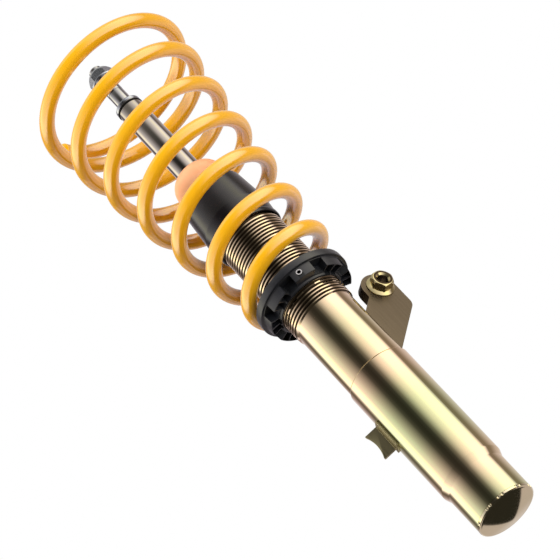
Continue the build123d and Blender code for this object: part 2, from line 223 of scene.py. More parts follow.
def repaint(piece, material, chosen):
    """Gives a piece's chosen faces another material; the choice sees each face's centre in millimetres."""
    piece.data.materials.append(MATERIALS[material])
    for face in piece.data.polygons:
        if chosen(face.center / MM):
            face.material_index = 1


def rounded(points, radius, steps=4):
    """A closed outline of (a, b) points with each convex or concave corner rounded.

    A point may carry its own radius as a third value.
    """
    count = len(points)
    result = []
    for index in range(count):
        corner = Vector(points[index][:2])
        before = Vector(points[index - 1][:2]) - corner
        after = Vector(points[(index + 1) % count][:2]) - corner
        own = points[index][2] if len(points[index]) > 2 else radius
        angle = before.angle(after)
        if own <= 0 or angle > math.radians(172):
            result.append(corner)
            continue
        reach = min(own / math.tan(angle / 2), before.length * 0.45, after.length * 0.45)
        own = reach * math.tan(angle / 2)
        bisector = (before.normalized() + after.normalized()).normalized()
        middle = corner + bisector * (own / math.sin(angle / 2))
        first = corner + before.normalized() * reach - middle
        last = corner + after.normalized() * reach - middle
        for step in range(steps + 1):
            part = step / steps
            swing = first.lerp(last, part).normalized() * own
            result.append(middle + swing)
    return result


def lathe(outline, segments):
    """A closed (radius, height) outline turned about the strut's axis."""
    bm = bmesh.new()
    rings = []
    for radius, height in outline:
        if radius < 1e-6:
            rings.append([bm.verts.new((0, 0, height))])
            continue
        ring = []
        for step in range(segments):
            angle = 2 * math.pi * step / segments
            ring.append(bm.verts.new((radius * math.cos(angle), radius * math.sin(angle), height)))
        rings.append(ring)
    for near, far in zip(rings, rings[1:] + rings[:1]):
        if len(near) == 1 and len(far) == 1:
            continue
        for step in range(segments):
            after = (step + 1) % segments
            corners = [near[step % len(near)], near[after % len(near)]]
            corners += [far[after % len(far)], far[step % len(far)]]
            unique = []
            for corner in corners:
                if corner not in unique:
                    unique.append(corner)
            bm.faces.new(unique)
    return bm


def prism(outline, low, high, matrix=Matrix.Identity(4)):
    """A flat (x, y) outline drawn out from low to high, then placed by a matrix."""
    bm = bmesh.new()
    rings = []
    for height in (low, high):
        rings.append([bm.verts.new(matrix @ Vector((p[0], p[1], height))) for p in outline])
    bm.faces.new(rings[0][::-1])
    bm.faces.new(rings[1])
    count = len(outline)
    for index in range(count):
        after = (index + 1) % count
        bm.faces.new((rings[0][index], rings[0][after], rings[1][after], rings[1][index]))
    return bm


def circle(radius, centre=(0, 0), segments=48, start=0.0):
    points = []
    for step in range(segments):
        angle = start + 2 * math.pi * step / segments
        points.append((centre[0] + radius * math.cos(angle), centre[1] + radius * math.sin(angle)))
    return points


def scratch_object(bm):
    bmesh.ops.recalc_face_normals(bm, faces=bm.faces)
    mesh = bpy.data.meshes.new("scratch")
    bm.to_mesh(mesh)
    bm.free()
    thing = bpy.data.objects.new("scratch", mesh)
    bpy.context.scene.collection.objects.link(thing)
    return thing


def combine(bm, tools, operation):
    """Joins or cuts a solid with other solids, one after another."""
    base = scratch_object(bm)
    others = []
    for tool in tools:
        other = scratch_object(tool)
        modifier = base.modifiers.new("cut", "BOOLEAN")
        modifier.operation = operation
        modifier.solver = "EXACT"
        modifier.object = other
        others.append(other)
    return baked(base, others)


def baked(thing, others=()):
    """The object's mesh with its modifiers applied, as a bmesh; the objects are removed."""
    graph = bpy.context.evaluated_depsgraph_get()
    result = bmesh.new()
    result.from_mesh(thing.evaluated_get(graph).to_mesh())
    for gone in (thing, *others):
        bpy.data.objects.remove(gone, do_unlink=True)
    return result


def bevelled(bm, width, angle=35.0, segments=3):
    bmesh.ops.remove_doubles(bm, verts=bm.verts, dist=1e-4)
    bmesh.ops.dissolve_limit(bm, angle_limit=math.radians(0.5), verts=bm.verts, edges=bm.edges)
    thing = scratch_object(bm)
    modifier = thing.modifiers.new("edges", "BEVEL")
    modifier.width = width
    modifier.segments = segments
    modifier.limit_method = "ANGLE"
    modifier.angle_limit = math.radians(angle)
    modifier.harden_normals = True
    return baked(thing)


# ============================== materials ==============================

MATERIALS = {}


class Nodes:
    """Short names for building a material's node tree."""

    def __init__(self, tree):
        self.tree = tree

    def add(self, kind, **values):
        node = self.tree.nodes.new(kind)
        for key, value in values.items():
            setattr(node, key, value)
        return node

    def link(self, start, end):
        self.tree.links.new(start, end)

    def noise(self, scale, detail=3.0, rough=0.5, stretch=(1, 1, 1)):
        """Noise in object space; stretch scales each axis before the noise is read."""
        place = self.add("ShaderNodeTexCoord")
        mapping = self.add("ShaderNodeMapping")
        mapping.inputs["Scale"].default_value = stretch
        noise = self.add("ShaderNodeTexNoise")
        noise.inputs["Scale"].default_value = scale
        noise.inputs["Detail"].default_value = detail
        noise.inputs["Roughness"].default_value = rough
        self.link(place.outputs["Object"], mapping.inputs["Vector"])
        self.link(mapping.outputs["Vector"], noise.inputs["Vector"])
        return noise.outputs["Fac"]

    def ramp(self, value, stops):
        ramp = self.add("ShaderNodeValToRGB")
        while len(ramp.color_ramp.elements) > 1:
            ramp.color_ramp.elements.remove(ramp.color_ramp.elements[0])
        ramp.color_ramp.elements[0].position = stops[0][0]
        ramp.color_ramp.elements[0].color = colour(stops[0][1])
        for place, value_here in stops[1:]:
            element = ramp.color_ramp.elements.new(place)
            element.color = colour(value_here)
        self.link(value, ramp.inputs["Fac"])
        return ramp.outputs["Color"]

    def range(self, value, low, high):
        scaled = self.add("ShaderNodeMapRange")
        scaled.inputs["From Min"].default_value = 0.3
        scaled.inputs["From Max"].default_value = 0.7
        scaled.inputs["To Min"].default_value = low
        scaled.inputs["To Max"].default_value = high
        self.link(value, scaled.inputs["Value"])
        return scaled.outputs["Result"]

    def bump(self, value, strength, distance_mm, shader):
        bump = self.add("ShaderNodeBump")
        bump.inputs["Strength"].default_value = strength
        bump.inputs["Distance"].default_value = distance_mm * MM
        self.link(value, bump.inputs["Height"])
        self.link(bump.outputs["Normal"], shader.inputs["Normal"])


def colour(value):
    """An (r, g, b) as a colour with alpha."""
    return (*value, 1.0)


def material(name, slot, **sockets):
    """A new material with a Principled shader; returns its node helper and the shader."""
    made = bpy.data.materials.new(name)
    made.use_nodes = True
    shader = made.node_tree.nodes["Principled BSDF"]
    for key, value in sockets.items():
        shader.inputs[key.replace("_", " ")].default_value = value
    MATERIALS[name] = made
    return Nodes(made.node_tree), shader


def vary_colour(nodes, shader, value, dark, light):
    nodes.link(nodes.ramp(value, [(0.35, dark), (0.65, light)]), shader.inputs["Base Color"])


def zinc(name, slot, dark, light, rough_low, rough_high):
    """Yellow zinc plate whose tint drifts between two colours."""
    nodes, shader = material(name, slot, Metallic=1.0)
    tint = nodes.noise(16.0, detail=2.0, stretch=(1, 1, 0.35))
    vary_colour(nodes, shader, tint, dark, light)
    grain = nodes.noise(900.0, detail=2.0, stretch=(1, 1, 0.05))
    nodes.link(nodes.range(grain, rough_low, rough_high), shader.inputs["Roughness"])
    nodes.bump(grain, 0.03, 0.02, shader)


# Yellow zinc plate on the tube: its tint drifts between green and pink up the strut.
TINT_DRIFT = (
    (0.00, (0.76, 0.80, 0.46)),
    (0.08, (0.86, 0.79, 0.48)),
    (0.15, (0.96, 0.77, 0.51)),
    (0.20, (0.93, 0.78, 0.49)),
    (0.30, (0.78, 0.79, 0.45)),
    (0.43, (0.76, 0.79, 0.44)),
    (0.50, (0.86, 0.79, 0.47)),
    (0.56, (0.97, 0.77, 0.50)),
    (0.62, (1.00, 0.77, 0.51)),
    (0.70, (0.94, 0.78, 0.49)),
    (0.80, (0.87, 0.78, 0.48)),
    (0.93, (0.98, 0.77, 0.53)),
)


def make_materials():
    nodes, shader = material("tube", "zinc_tube", Metallic=1.0)
    place = nodes.add("ShaderNodeTexCoord")
    split = nodes.add("ShaderNodeSeparateXYZ")
    nodes.link(place.outputs["Object"], split.inputs["Vector"])
    swirl = nodes.add("ShaderNodeMath", operation="MULTIPLY_ADD")
    nodes.link(nodes.noise(22.0, detail=1.0, stretch=(1, 1, 0.5)), swirl.inputs[0])
    swirl.inputs[1].default_value = TINT_SWIRL * MM
    nodes.link(split.outputs["Z"], swirl.inputs[2])
    height = nodes.add("ShaderNodeMapRange")
    height.inputs["From Min"].default_value = TINT_BASE * MM
    height.inputs["From Max"].default_value = (TINT_BASE + TINT_HEIGHT) * MM
    nodes.link(swirl.outputs["Value"], height.inputs["Value"])
    nodes.link(nodes.ramp(height.outputs["Result"], TINT_DRIFT), shader.inputs["Base Color"])
    grain = nodes.noise(900.0, detail=2.0, stretch=(1, 1, 0.05))
    nodes.link(nodes.range(grain, 0.055, 0.085), shader.inputs["Roughness"])
    nodes.bump(grain, 0.03, 0.02, shader)

    # Painted shade: a dark, rough copy of the zinc, laid on the thread's grooves, the bracket's rim wall and
    # the link nut's bore and top face, where shade falls.
    zinc("painted_shade_zinc", "zinc_tube", (0.060, 0.042, 0.026), (0.085, 0.060, 0.036), 0.40, 0.52)
    zinc("cap", "zinc_tube", (0.80, 0.74, 0.50), (0.86, 0.77, 0.54), 0.04, 0.06)
    zinc("bracket", "zinc_bracket", (0.155, 0.122, 0.086), (0.180, 0.142, 0.098), 0.38, 0.48)
    zinc("tab", "zinc_bracket", (0.52, 0.47, 0.27), (0.58, 0.52, 0.32), 0.28, 0.36)
    zinc("nut_gold", "zinc_nut", (0.66, 0.57, 0.31), (0.72, 0.62, 0.36), 0.05, 0.09)

    nodes, shader = material("spring", "spring_paint", Coat_Weight=1.0, Coat_IOR=2.35, Coat_Roughness=0.02)
    vary_colour(nodes, shader, nodes.noise(60.0), (0.97, 0.475, 0.005), (0.99, 0.495, 0.008))
    nodes.link(nodes.range(nodes.noise(700.0, detail=1.0), 0.45, 0.55), shader.inputs["Roughness"])
    shader.inputs["Specular IOR Level"].default_value = 0.1

    nodes, shader = material("perch", "perch_plastic", IOR=1.7)
    vary_colour(nodes, shader, nodes.noise(120.0), (0.010, 0.011, 0.014), (0.016, 0.017, 0.021))
    grain = nodes.noise(2500.0, detail=2.0)
    nodes.link(nodes.range(grain, 0.30, 0.42), shader.inputs["Roughness"])
    nodes.bump(grain, 0.08, 0.03, shader)

    # Painted shade: near-black steel for the inside of the lock screw's hex socket.
    nodes, shader = material("socket", "grey_steel", Metallic=1.0)
    vary_colour(nodes, shader, nodes.noise(300.0), (0.020, 0.020, 0.020), (0.030, 0.030, 0.030))
    nodes.link(nodes.range(nodes.noise(900.0), 0.5, 0.6), shader.inputs["Roughness"])

    # Painted shade: a darker, rougher copy of the perch plastic for the hollows round the lugs.
    nodes, shader = material("perch_painted_shade", "perch_plastic")
    vary_colour(nodes, shader, nodes.noise(120.0), (0.006, 0.007, 0.009), (0.011, 0.012, 0.015))
    nodes.link(nodes.range(nodes.noise(2500.0, detail=2.0), 0.48, 0.60), shader.inputs["Roughness"])

    nodes, shader = material("boot", "boot_rubber", IOR=1.65)
    vary_colour(nodes, shader, nodes.noise(80.0), (0.006, 0.005, 0.006), (0.010, 0.008, 0.010))
    grain = nodes.noise(1800.0, detail=2.0)
    nodes.link(nodes.range(grain, 0.20, 0.25), shader.inputs["Roughness"])
    nodes.bump(grain, 0.03, 0.02, shader)

    nodes, shader = material("lock_screw", "grey_steel", Metallic=1.0)
    vary_colour(nodes, shader, nodes.noise(300.0), (0.70, 0.70, 0.72), (0.78, 0.78, 0.80))
    nodes.link(nodes.range(nodes.noise(900.0), 0.15, 0.25), shader.inputs["Roughness"])

    nodes, shader = material("foam", "stop_foam", Roughness=0.75)
    vary_colour(nodes, shader, nodes.noise(90.0), (0.98, 0.50, 0.27), (1.0, 0.55, 0.31))
    nodes.bump(nodes.noise(1500.0, detail=3.0), 0.12, 0.08, shader)

    # Chrome's own grey, darkened and tinted brown as a painted reflection of the spring, which the rod's
    # glossy rays do not see.
    nodes, shader = material("chrome", "rod_chrome", Metallic=1.0)
    vary_colour(nodes, shader, nodes.noise(40.0), (0.46, 0.42, 0.385), (0.52, 0.475, 0.435))
    lines = nodes.noise(500.0, detail=2.0, stretch=(0.02, 0.02, 1))
    nodes.link(nodes.range(lines, 0.05, 0.09), shader.inputs["Roughness"])
    nodes.bump(lines, 0.02, 0.01, shader)

    nodes, shader = material("shank", "rod_chrome", Metallic=1.0)
    vary_colour(nodes, shader, nodes.noise(80.0), (0.42, 0.42, 0.43), (0.50, 0.50, 0.51))
    nodes.link(nodes.range(nodes.noise(700.0), 0.05, 0.09), shader.inputs["Roughness"])

    nodes, shader = material("steel", "grey_steel", Metallic=1.0)
    vary_colour(nodes, shader, nodes.noise(70.0), (0.50, 0.53, 0.60), (0.58, 0.61, 0.68))
    grain = nodes.noise(900.0, detail=2.0)
    nodes.link(nodes.range(grain, 0.20, 0.32), shader.inputs["Roughness"])
    nodes.bump(grain, 0.05, 0.03, shader)

    nodes, shader = material("seal", "black_rubber")
    vary_colour(nodes, shader, nodes.noise(300.0), (0.005, 0.005, 0.005), (0.009, 0.009, 0.009))
    nodes.link(nodes.range(nodes.noise(900.0), 0.45, 0.6), shader.inputs["Roughness"])
    shader.inputs["Specular IOR Level"].default_value = 0.1

    nodes, shader = material("machined", "inner_steel", Metallic=1.0)
    vary_colour(nodes, shader, nodes.noise(90.0), (0.50, 0.50, 0.51), (0.58, 0.58, 0.59))
    nodes.link(nodes.range(nodes.noise(800.0, stretch=(1, 1, 20)), 0.2, 0.35), shader.inputs["Roughness"])

    nodes, shader = material("cast", "inner_aluminium", Metallic=1.0)
    vary_colour(nodes, shader, nodes.noise(120.0), (0.70, 0.70, 0.71), (0.80, 0.80, 0.81))
    nodes.link(nodes.range(nodes.noise(600.0), 0.35, 0.55), shader.inputs["Roughness"])

    nodes, shader = material("bush", "bush_plastic")
    vary_colour(nodes, shader, nodes.noise(200.0), (0.20, 0.18, 0.16), (0.26, 0.24, 0.21))
    nodes.link(nodes.range(nodes.noise(900.0), 0.4, 0.55), shader.inputs["Roughness"])


INNER_NODES = {
    "machined": (
        "working_cylinder", "base_valve_shims", "base_valve_bolt", "gland_nut",
        "piston_shims", "piston_nut", "rebound_stop",
    ),
    "cast": ("base_valve_body", "rod_guide", "piston"),
    "bush": ("guide_bush", "piston_band"),
    "seal": ("rod_seal",),
}


def finish_inner_nodes():
    """The damper's hidden pieces keep their CAD shape and get their materials."""
    for name, nodes in INNER_NODES.items():
        for node in nodes:
            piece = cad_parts[node]
            piece.data.materials.clear()
            piece.data.materials.append(MATERIALS[name])
            piece.data.shade_smooth()
            piece.data.set_sharp_from_angle(angle=math.radians(30))


# ============================== strut tube ==============================


def make_lower_housing():
    outline = [
        (BORE_R, CAP_THICK),
        (CLAMP_R - 0.1, CAP_THICK, 0.3),
        (CLAMP_R, CLAMP_TOP, SHOULDER_ROUND),
        (HOUSING_R, SHOULDER_TOP, SHOULDER_ROUND),
        (HOUSING_R, HOUSING_TOP - SEAM_RISE, 0.3),
        (HOUSING_R - SEAM_STEP, HOUSING_TOP, 0.2),
        (BORE_R, HOUSING_TOP),
    ]
    body = lathe(rounded(outline, 0.3), FINE)
    new_piece("lower_housing_tube", body, "tube", "housing", "lower_housing", sharp=25)


def make_bottom_cap():
    """A slightly domed disc that turns up round a small corner to meet the tube."""
    outline = [(0.0, CAP_INSIDE)]
    for step in range(23):
        radius = CAP_FACE_R * step / 22
        outline.append((radius, CAP_DOME * radius * radius))
    rise = CAP_DOME * CAP_FACE_R * CAP_FACE_R
    wide, tall = CAP_CORNER
    for step in range(1, 13):
        angle = math.radians(-90 + step * 7.5)
        outline.append((CAP_FACE_R + wide * math.cos(angle), rise + tall + tall * math.sin(angle)))
    outline += [(CLAMP_R, CAP_THICK - 0.3), (CLAMP_R - 0.3, CAP_THICK - 0.05)]
    outline += [(BORE_R, CAP_THICK - 0.05), (BORE_R, CAP_INSIDE)]
    body = lathe(outline, 256)
    dents = []
    for azimuth in CRIMP_AZIMUTHS:
        turn = Matrix.Rotation(math.radians(azimuth), 4, "Z")
        for side in (-1, 1):
            swing = Matrix.Rotation(math.radians(side * CRIMP_HALF_GAP), 4, "Z")
            dent = bmesh.new()
            place = turn @ swing @ Matrix.Translation((CLAMP_R + CRIMP_OUT, 0, CRIMP_Z))
            bmesh.ops.create_uvsphere(dent, u_segments=20, v_segments=12, radius=CRIMP_R, matrix=place)
            dents.append(dent)
    body = combine(body, dents, "DIFFERENCE")
    new_piece("bottom_cap_disc", body, "cap", "housing", "bottom_cap", sharp=30)


def thread_section():
    """One pitch of the thread's outline: (radius, height above the pitch's start)."""
    crest = THREAD_R
    root = SLEEVE_R + 0.05
    return [
        (root, 0.0),
        (root + 0.1, 0.10),
        (crest - 0.12, 0.98),
        (crest, 1.10),
        (crest, 2.10),
        (crest - 0.12, 2.22),
        (root + 0.1, 3.08),
    ]


def make_threaded_sleeve(segments=168):
    """Tube with one helical thread that fades in and out over its first and last turns."""
    section = thread_section()
    size = len(section)
    rows = THREAD_TURNS * size
    bm = bmesh.new()
    grid = []
    for row in range(rows + 1):
        radius, rise = section[row % size]
        turn = row // size
        line = []
        for step in range(segments):
            part = step / segments
            here = radius
            if turn == 0:
                here = SLEEVE_R + (radius - SLEEVE_R) * min(1.0, part * 1.6)
            if turn >= THREAD_TURNS - 1:
                fade = max(0.0, part - 0.5) * 2 + turn - THREAD_TURNS + 1
                here = SLEEVE_R + (radius - SLEEVE_R) * max(0.0, 1.0 - fade)
            height = THREAD_START - THREAD_PITCH + 0.4 + (turn + part) * THREAD_PITCH + rise
            angle = 2 * math.pi * part
            line.append(bm.verts.new((here * math.cos(angle), here * math.sin(angle), height)))
        grid.append(line)
    for row in range(rows):
        for step in range(segments - 1):
            bm.faces.new((grid[row][step], grid[row][step + 1], grid[row + 1][step + 1], grid[row + 1][step]))
        if row + 1 + size <= rows:
            bm.faces.new((
                grid[row][segments - 1], grid[row + size][0],
                grid[row + size + 1][0], grid[row + 1][segments - 1],
            ))

    def flat_ring(radius, height):
        line = []
        for step in range(segments):
            angle = 2 * math.pi * step / segments
            line.append(bm.verts.new((radius * math.cos(angle), radius * math.sin(angle), height)))
        return line

    def bridge(lower, upper):
        for step in range(segments):
            after = (step + 1) % segments
            bm.faces.new((lower[step], lower[after], upper[after], upper[step]))

    below = [
        flat_ring(BORE_R, HOUSING_TOP),
        flat_ring(SLEEVE_R - 0.35, HOUSING_TOP),
        flat_ring(SLEEVE_R - 0.1, HOUSING_TOP + 0.12),
        flat_ring(SLEEVE_R, HOUSING_TOP + 0.4),
        flat_ring(SLEEVE_R, THREAD_START - THREAD_PITCH),
    ]
    above = [
        flat_ring(SLEEVE_R, TUBE_TOP - 0.6),
        flat_ring(SLEEVE_R - 0.6, TUBE_TOP),
        flat_ring(BORE_R, TUBE_TOP),
    ]
    for lower, upper in zip(below + above, below[1:] + above + below[:1]):
        if lower is not below[-1]:
            bridge(lower, upper)
    start = below[-1]
    for step in range(segments - 1):
        bm.faces.new((start[step], start[step + 1], grid[0][step + 1], grid[0][step]))
    first = [grid[row][0] for row in range(size + 1)]
    bm.faces.new([start[segments - 1], start[0]] + first + [grid[0][segments - 1]])
    end = above[0]
    for step in range(segments - 1):
        bm.faces.new((grid[rows][step], grid[rows][step + 1], end[step + 1], end[step]))
    last = [grid[row][segments - 1] for row in range(rows - size, rows + 1)]
    bm.faces.new([grid[rows][0]] + last + [end[segments - 1], end[0]])
    sleeve = new_piece("threaded_sleeve_tube", bm, "tube", "housing", "threaded_sleeve", sharp=25)

    # Painted shade: faces down in the thread's grooves get the dark zinc, so only the crests show bright.
    def in_groove_shade(centre):
        return centre.z > THREAD_START + 0.5 and math.hypot(centre.x, centre.y) < THREAD_R - 0.1

    repaint(sleeve, "painted_shade_zinc", in_groove_shade)


# ============================== rod ==============================


def make_rod():
    outline = [
        (0.0, ROD_BASE),
        (SPIGOT_R, ROD_BASE, 0.6),
        (SPIGOT_R, PISTON_TOP),
        (ROD_R, PISTON_TOP, 0.4),
        (ROD_R, O_RING_BASE, 0.35),
        (ROD_R - O_RING_GROOVE, O_RING_BASE),
        (ROD_R - O_RING_GROOVE, O_RING_BASE + O_RING_THICK),
        (ROD_R, O_RING_BASE + O_RING_THICK, 0.1),
        (ROD_R, WASHER_BASE, 0.1),
        (0.0, WASHER_BASE),
    ]
    body = lathe(rounded(outline, 0.0), MEDIUM)
    new_piece("piston_rod_bar", body, "chrome", "rod", "piston_rod", sharp=30)
    outline = [
        (0.0, WASHER_BASE),
        (SHANK_R, WASHER_BASE),
        (SHANK_R, SHANK_RELIEF_Z - 0.6, 0.2),
        (SHANK_R - 0.4, SHANK_RELIEF_Z - 0.4, 0.1),
        (SHANK_R - 0.4, SHANK_RELIEF_Z + 0.4, 0.1),
        (SHANK_R, SHANK_RELIEF_Z + 0.6, 0.2),
        (SHANK_R, NUT_BASE - 1.5, 0.2),
        (STUD_R, NUT_BASE - 0.5, 0.2),
        (STUD_R, STUD_TOP - 1.2, 0.3),
        (STUD_R - 1.2, STUD_TOP, 0.3),
        (0.0, STUD_TOP),
    ]
    body = lathe(rounded(outline, 0.0), MEDIUM)
    socket = prism(circle(ROD_SOCKET_R, segments=6), STUD_TOP - 7, STUD_TOP + 1)
    body = combine(body, [socket], "DIFFERENCE")
    new_piece("piston_rod_shank", body, "shank", "rod", "piston_rod", sharp=30)


def make_o_ring():
    middle = O_RING_BASE + O_RING_THICK / 2 - 0.1
    radius = O_RING_THICK / 2 + 0.35
    outline = [(ROD_R - 0.9 + radius * p[0], middle + radius * p[1]) for p in circle(1.0, segments=20)]
    new_piece("rod_o_ring_seal", lathe(outline, SMALL), "seal", "rod", "rod_o_ring", sharp=80)


def make_washer():
    outline = [
        (SHANK_R + 0.02, WASHER_BASE, 0.2),
        (WASHER_R - 0.9, WASHER_BASE, 0.3),
        (WASHER_R, WASHER_BASE + 0.9, 0.6),
        (WASHER_R, WASHER_TOP - 1.2, 0.8),
        (WASHER_R - 1.2, WASHER_TOP, 0.8),
        (SHANK_R + 0.02, WASHER_TOP, 0.3),
    ]
    body = lathe(rounded(outline, 0.2), MEDIUM)
    new_piece("seat_washer_ring", body, "steel", "rod", "seat_washer", sharp=40)


def make_top_nut():
    hexagon = prism(circle(TOP_NUT_FLATS / math.sqrt(3), segments=6), NUT_BASE, NUT_TOP)
    crown = lathe(rounded([
        (0.0, NUT_BASE),
        (13.0, NUT_BASE),
        (13.0, NUT_TOP - 6.0),
        (12.1, NUT_TOP - 4.6, 1.0),
        (9.4, NUT_TOP - 0.4, 0.8),
        (8.6, NUT_TOP, 0.3),
        (0.0, NUT_TOP),
    ], 0.0), SMALL)
    body = combine(hexagon, [crown], "INTERSECT")
    flange = lathe(rounded([
        (0.0, NUT_BASE),
        (TOP_NUT_FLANGE_R, NUT_BASE, 0.4),
        (TOP_NUT_FLANGE_R, NUT_BASE + 1.6, 0.6),
        (10.8, NUT_BASE + 3.0, 0.6),
        (0.0, NUT_BASE + 3.0),
    ], 0.0), SMALL)
    hole = prism(circle(STUD_R + 0.05, segments=64), NUT_BASE - 1, NUT_TOP + 1)
    body = combine(body, [flange], "UNION")
    body = combine(body, [hole], "DIFFERENCE")
    new_piece("top_nut_hex", body, "steel", "rod", "top_nut", sharp=28)


# ============================== bump stop and boot ==============================


def make_bump_stop():
    outline = [(STOP_BORE_R, STOP_BASE, 0.5), (18.0, STOP_BASE, 1.0)]
    for fold in range(STOP_FOLDS):
        base = STOP_BASE + fold * FOLD_HEIGHT
        outline += [(21.0, base + 4, 2.5), (21.0, base + 9, 2.5), (17.2, base + 13.5, 1.6)]
    outline += [(STOP_R, STOP_TOP - 24, 2.5)]
    for step in range(10):
        angle = math.radians(step * 10)
        radius = DOME_INNER_R + (STOP_R - DOME_INNER_R) * math.cos(angle)
        outline.append((radius, STOP_TOP - DOME_HEIGHT + DOME_HEIGHT * math.sin(angle), 0.0))
    outline += [(STOP_BORE_R + 0.4, STOP_TOP, 0.3), (STOP_BORE_R, STOP_TOP - 0.6, 0.3)]
    body = lathe(rounded(outline, 0.0, 5), MEDIUM)
    new_piece("bump_stop_foam", body, "foam", "bump", "bump_stop", sharp=60)


def make_boot():
    outside = [
        (28.9, BOOT_BASE, 0.8),
        (28.9, BOOT_BASE + 3.2, 0.8),
        (28.35, BOOT_BASE + 4.6, 0.8),
        (29.9, BOOT_BASE + 20, 8.0),
        (27.8, BOOT_TOP - 10, 12.0),
        (27.2, BOOT_TOP - 3, 4.0),
        (25.9, BOOT_TOP, 0.8),
    ]
    inside = [(radius - BOOT_WALL, height, corner) for radius, height, corner in outside]
    body = lathe(rounded(outside + inside[::-1], 0.5, 6), MEDIUM)
    new_piece("dust_boot_sleeve", body, "boot", "bump", "dust_boot", sharp=45)


# ============================== perch ==============================


def polar(radius, degrees):
    angle = math.radians(degrees)
    return (radius * math.cos(angle), radius * math.sin(angle))


def sector(inner, outer, low, high, corner):
    """A ring sector outline between two azimuths, with rounded corners."""
    steps = max(3, round((high - low) / 3))
    points = []
    for radius, start, end in ((outer, low, high), (inner, high, low)):
        for step in range(steps + 1):
            place = polar(radius, start + (end - start) * step / steps)
            points.append((*place, corner if step in (0, steps) else 0.0))
    return rounded(points, 0.0, 3)


def make_perch():
    flange_base = PERCH_TOP - FLANGE_THICK
    body = lathe(rounded([
        (PERCH_BORE_R, PERCH_BASE, 0.4),
        (HUB_R - 0.6, PERCH_BASE, 0.8),
        (HUB_R, LUG_BASE + 1.0, 0.5),
        (LUG_R - 0.8, LUG_BASE, 0.5),
        (LUG_R, flange_base, 0.3),
        (FLANGE_R, flange_base, 0.5),
        (FLANGE_R, PERCH_TOP, 0.9),
        (PERCH_BORE_R, PERCH_TOP, 0.6),
    ], 0.3, 3), FINE)
    cutters = []
    pitch = 360 / LUGS
    for lug in range(LUGS):
        middle = LUG_AZIMUTH + lug * pitch
        gap = middle + pitch / 2
        notch = sector(HUB_R + 0.8, FLANGE_R + 6, gap - NOTCH_HALF, gap + NOTCH_HALF, 1.4)
        cutters.append(prism(notch, LUG_BASE - 4, flange_base - 0.4))
        if lug == 0:
            continue
        for side in (-1, 1):
            low, high = sorted(side * edge for edge in POCKET_SIDES)
            pocket = sector(POCKET_INNER_R, POCKET_OUTER_R, middle + low, middle + high, 1.5)
            cutters.append(prism(pocket, LUG_BASE - 4, flange_base + 1.0))
    body = combine(body, cutters, "DIFFERENCE")
    turn = Matrix.Rotation(math.radians(SCREW_AZIMUTH), 4, "Z")
    along = turn @ Matrix.Translation((0, 0, SCREW_Z)) @ Matrix.Rotation(math.radians(90), 4, "Y")
    hole = prism(circle(SCREW_R + 0.15, segments=40), PERCH_BORE_R - 4, FLANGE_R + 4, along)
    body = combine(body, [hole], "DIFFERENCE")
    perch = new_piece("spring_perch_ring", body, "perch", "perch", "spring_perch", sharp=30)

    # Painted shade: faces inside the lug hollows and pockets get the darker plastic.
    def hollow_shade(centre):
        return LUG_BASE + 0.6 < centre.z < flange_base + 1.2 and centre.xy.length < LUG_R - 0.5

    repaint(perch, "perch_painted_shade", hollow_shade)

    outer = LUG_R + 0.2
    screw = prism(circle(SCREW_R - 0.05, segments=40), PERCH_BORE_R + 0.4, outer, along)
    socket = prism(circle(SCREW_SOCKET_R, segments=6), outer - 3, outer + 1, along)
    screw = combine(screw, [socket], "DIFFERENCE")
    screw = new_piece("perch_lock_screw_set", screw, "lock_screw", "lock_screw", "perch_lock_screw", sharp=30)
    back = along.inverted()

    # Painted shade: the faces inside the hex socket get the near-black steel.
    def socket_shade(centre):
        here = back @ centre
        return math.hypot(here.x, here.y) < SCREW_SOCKET_R + 0.15 and here.z < outer - 0.1

    repaint(screw, "socket", socket_shade)


# ============================== spring ==============================


def ramp(turns, softness):
    """Zero below zero turns and equal to turns above, with a rounded corner."""
    return (turns + math.sqrt(turns * turns + softness * softness)) / 2


def coil_point(turns):
    """Centre of the wire, this many turns after it leaves the perch."""
    rise = ramp(turns, SEAT_SOFTNESS) - ramp(turns - RISE_TURNS, TOP_SOFTNESS)
    height = PERCH_TOP + WIRE_R + COIL_PITCH * rise
    radius = COIL_START_R + COIL_GROWTH * (turns - TOP_GROWTH * ramp(turns - RISE_TURNS, SEAT_SOFTNESS))
    angle = math.radians(COIL_START_AZIMUTH + 360 * turns)
    return Vector((radius * math.cos(angle), radius * math.sin(angle), height + 0.05))


def make_spring(steps_per_turn=80, around=32):
    steps = round((COIL_TURNS + SEAT_TURNS) * steps_per_turn)
    bm = bmesh.new()
    rings = []
    for step in range(steps + 1):
        turns = -SEAT_TURNS + (COIL_TURNS + SEAT_TURNS) * step / steps
        centre = coil_point(turns)
        along = (coil_point(turns + 0.001) - coil_point(turns - 0.001)).normalized()
        outward = Vector((centre.x, centre.y, 0)).normalized()
        upward = along.cross(outward).normalized()
        outward = upward.cross(along)
        sections = [(0.0, 0.0)]
        if step == 0:
            sections = WIRE_ENDS
        elif step == steps:
            sections = [(-shift, less) for shift, less in reversed(WIRE_ENDS)]
        for shift, less in sections:
            ring = []
            for part in range(around):
                angle = 2 * math.pi * part / around
                offset = outward * math.cos(angle) + upward * math.sin(angle)
                ring.append(bm.verts.new(centre + along * shift + offset * (WIRE_R - less - WIRE_SHRINK)))
            rings.append(ring)
    for near, far in zip(rings, rings[1:]):
        for part in range(around):
            after = (part + 1) % around
            bm.faces.new((near[part], near[after], far[after], far[part]))
    bm.faces.new(rings[0])
    bm.faces.new(rings[-1])
    spring = new_piece("coil_spring_wire", bm, "spring", "spring", "coil_spring", sharp=50)
    spring.visible_glossy = False
    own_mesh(spring)


# ============================== link bracket ==============================


